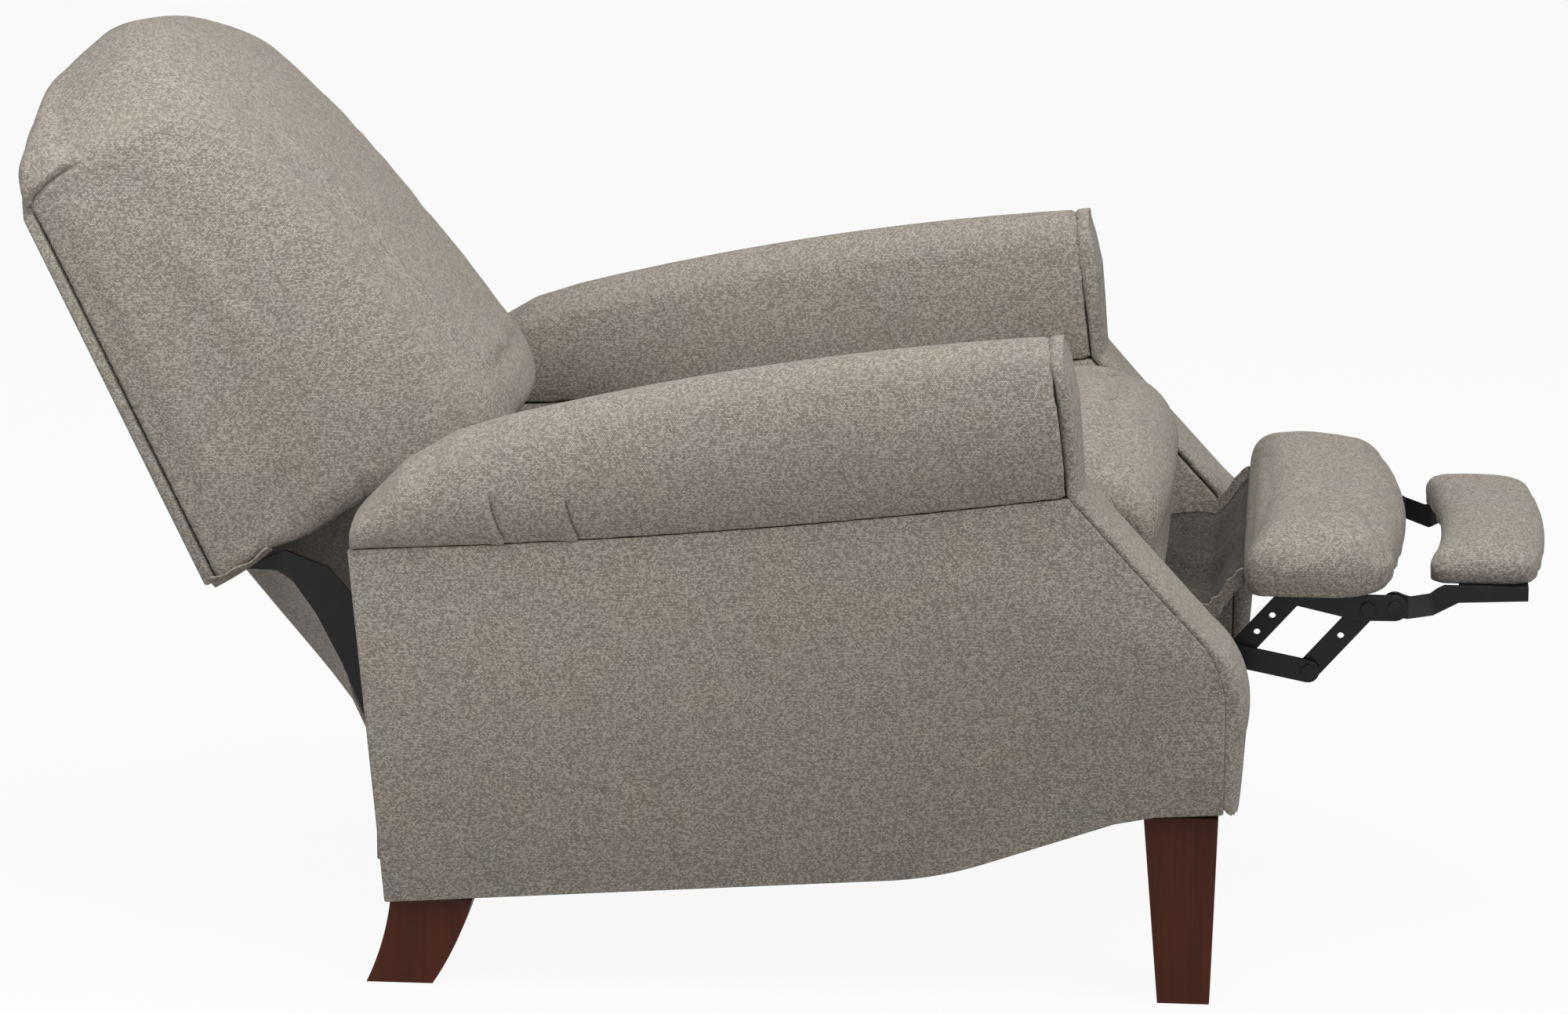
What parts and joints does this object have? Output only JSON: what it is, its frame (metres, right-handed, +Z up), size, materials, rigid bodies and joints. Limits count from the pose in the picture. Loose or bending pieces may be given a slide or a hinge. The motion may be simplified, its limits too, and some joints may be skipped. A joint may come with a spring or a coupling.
{
  "type": "pushback recliner",
  "caption": "Upholstered armchair whose arched back reclines as the seat slides and a padded footrest with extension swings out on steel links.",
  "frame": {"origin": "on the floor under the middle of the reclined chair's bounding box", "axes": "+Z up, -Y the way the sitter faces, +X the sitter's left"},
  "size_m": [0.7114, 1.5072, 0.8864],
  "materials": {
    "cloth": "matte",
    "cushion_cloth": "matte",
    "wood_dark": "satin",
    "wood_plain": "matte",
    "steel_black": "satin",
    "steel_plain": "satin",
    "glide": "matte"
  },
  "bodies": {
    "base": {"arm_outer_panel_right": "cloth", "arm_outer_panel_left": "cloth", "arm_inner_pad_right": "cloth", "arm_inner_pad_left": "cloth", "arm_rear_strip_right": "cloth", "arm_rear_strip_left": "cloth", "arm_roll_right": "cloth", "arm_roll_left": "cloth", "arm_front_facing_right": "cloth", "arm_front_facing_left": "cloth", "arm_boards": "wood_plain", "arm_posts": "wood_plain", "front_leg_right": "wood_dark", "front_leg_left": "wood_dark", "rear_leg_right": "wood_dark", "rear_leg_left": "wood_dark", "leg_bolts": "steel_plain", "floor_glides": "glide", "front_base_rail": "wood_plain", "rear_base_rail": "wood_plain", "rear_base_panel": "cloth", "mounting_rails": "wood_plain", "mechanism_plates": "steel_black", "base_pivot_pins": "steel_black", "plate_bolts": "steel_plain", "rear_flap": "cloth"},
    "back": {"back_cushion": "cushion_cloth", "outside_back_panel": "cloth", "back_frame": "wood_plain", "back_springs": "steel_plain", "back_bracket_right": "steel_black", "back_bracket_left": "steel_black"},
    "front_swing": {"front_swing_links": "steel_black"},
    "rear_swing": {"rear_swing_links": "steel_black"},
    "seat": {"seat_brackets": "steel_black", "seat_pivot_pins": "steel_black", "seat_frame": "wood_plain", "seat_springs": "steel_plain", "seat_cushion": "cushion_cloth"},
    "back_link": {"back_links": "steel_black"},
    "long_link": {"long_link_right": "steel_black", "long_link_left": "steel_black", "long_link_pins": "steel_black"},
    "drive_link": {"drive_links": "steel_black"},
    "control_link": {"control_links": "steel_black", "control_pins": "steel_black"},
    "rear_lift": {"rear_lift_links": "steel_black"},
    "front_lift": {"front_lift_links": "steel_black"},
    "footrest": {"footrest_pad": "cushion_cloth", "footrest_board": "wood_plain", "footrest_brackets": "steel_black", "footrest_pins": "steel_black", "front_gusset": "cloth"},
    "extension": {"extension_pad": "cushion_cloth", "extension_board": "wood_plain", "extension_brackets": "steel_black"}
  },
  "joints": [
    {"name": "back_recline", "type": "hinge", "parent": "base", "child": "back", "pos_m": [0, 0.3, 0.14], "axis": [1, 0, 0], "range_deg": [0, 18], "deforming": ["rear_flap", "front_gusset"]},
    {"name": "front_swing_pivot", "type": "hinge", "parent": "base", "child": "front_swing", "pos_m": [0, -0.14, 0.205], "axis": [1, 0, 0], "range_deg": [0, 36]},
    {"name": "rear_swing_pivot", "type": "hinge", "parent": "base", "child": "rear_swing", "pos_m": [0, 0.11, 0.205], "axis": [1, 0, 0], "range_deg": [0, 36]},
    {"name": "seat_pivot", "type": "hinge", "parent": "front_swing", "child": "seat", "pos_m": [0, -0.10137, 0.32388], "axis": [1, 0, 0], "range_deg": [-36, 0]},
    {"name": "back_link_pivot", "type": "hinge", "parent": "rear_swing", "child": "back_link", "pos_m": [0, 0.12916, 0.26397], "axis": [1, 0, 0], "range_deg": [-36, 0]},
    {"name": "long_link_pivot", "type": "hinge", "parent": "base", "child": "long_link", "pos_m": [0, -0.3615, 0.3235], "axis": [1, 0, 0], "range_deg": [0, 90]},
    {"name": "drive_link_pivot", "type": "hinge", "parent": "long_link", "child": "drive_link", "pos_m": [0, -0.37564, 0.30936], "axis": [1, 0, 0], "range_deg": [-90, 0]},
    {"name": "control_link_pivot", "type": "hinge", "parent": "base", "child": "control_link", "pos_m": [0, -0.3335, 0.2915], "axis": [1, 0, 0], "range_deg": [0, 90]},
    {"name": "rear_lift_pivot", "type": "hinge", "parent": "long_link", "child": "rear_lift", "pos_m": [0, -0.457, 0.316], "axis": [1, 0, 0], "range_deg": [-90, 0]},
    {"name": "front_lift_pivot", "type": "hinge", "parent": "long_link", "child": "front_lift", "pos_m": [0, -0.527, 0.302], "axis": [1, 0, 0], "range_deg": [-90, 0]},
    {"name": "footrest_pivot", "type": "hinge", "parent": "rear_lift", "child": "footrest", "pos_m": [0, -0.513, 0.38], "axis": [1, 0, 0], "range_deg": [0, 90]},
    {"name": "extension_pivot", "type": "hinge", "parent": "footrest", "child": "extension", "pos_m": [0, -0.609, 0.367], "axis": [1, 0, 0], "range_deg": [0, 162]}
  ],
  "couplings": [
    {"joint": "front_swing_pivot", "follows": "back_recline", "ratio": 2},
    {"joint": "rear_swing_pivot", "follows": "back_recline", "ratio": 2},
    {"joint": "seat_pivot", "follows": "back_recline", "ratio": -2},
    {"joint": "back_link_pivot", "follows": "back_recline", "ratio": -2},
    {"joint": "long_link_pivot", "follows": "back_recline", "ratio": 5},
    {"joint": "drive_link_pivot", "follows": "back_recline", "ratio": -5},
    {"joint": "control_link_pivot", "follows": "back_recline", "ratio": 5},
    {"joint": "rear_lift_pivot", "follows": "back_recline", "ratio": -5},
    {"joint": "front_lift_pivot", "follows": "back_recline", "ratio": -5},
    {"joint": "footrest_pivot", "follows": "back_recline", "ratio": 5},
    {"joint": "extension_pivot", "follows": "back_recline", "ratio": 9}
  ]
}
